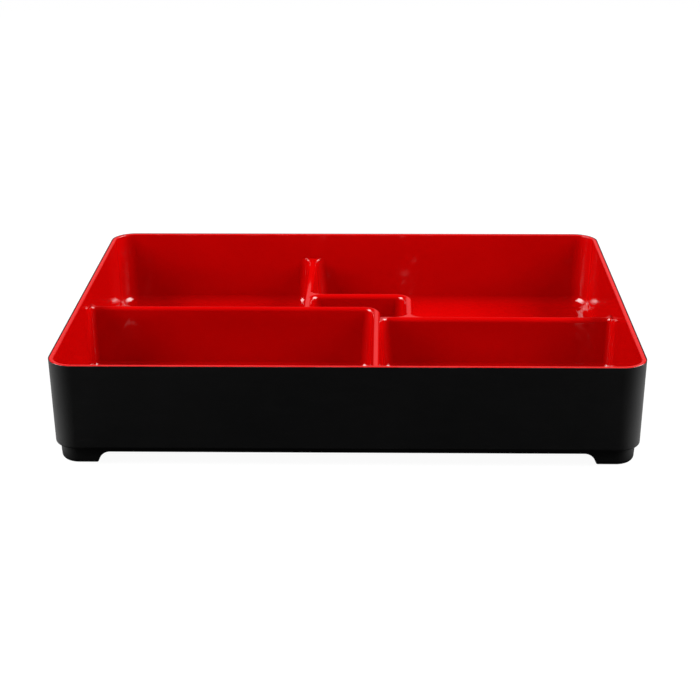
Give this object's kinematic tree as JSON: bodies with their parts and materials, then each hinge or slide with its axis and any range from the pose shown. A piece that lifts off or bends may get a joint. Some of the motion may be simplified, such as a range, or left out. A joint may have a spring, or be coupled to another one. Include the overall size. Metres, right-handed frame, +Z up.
{
  "type": "bento box",
  "caption": "Low rectangular bento box: a black outer shell on corner feet, with a red compartment tray that lifts out.",
  "frame": {"origin": "on the table, under the middle of the box", "axes": "+X to the right along the long side, +Y to the back, +Z up"},
  "size_m": [0.31, 0.235, 0.0564],
  "materials": {
    "black_plastic": "satin",
    "red_plastic": "gloss"
  },
  "bodies": {
    "shell": {"outer_shell": "black_plastic"},
    "tray": {"compartment_tray": "red_plastic"}
  },
  "joints": [
    {"name": "tray_lift", "type": "slide", "parent": "shell", "child": "tray", "axis": [0, 0, 1], "range_m": [0, 0.06]}
  ]
}
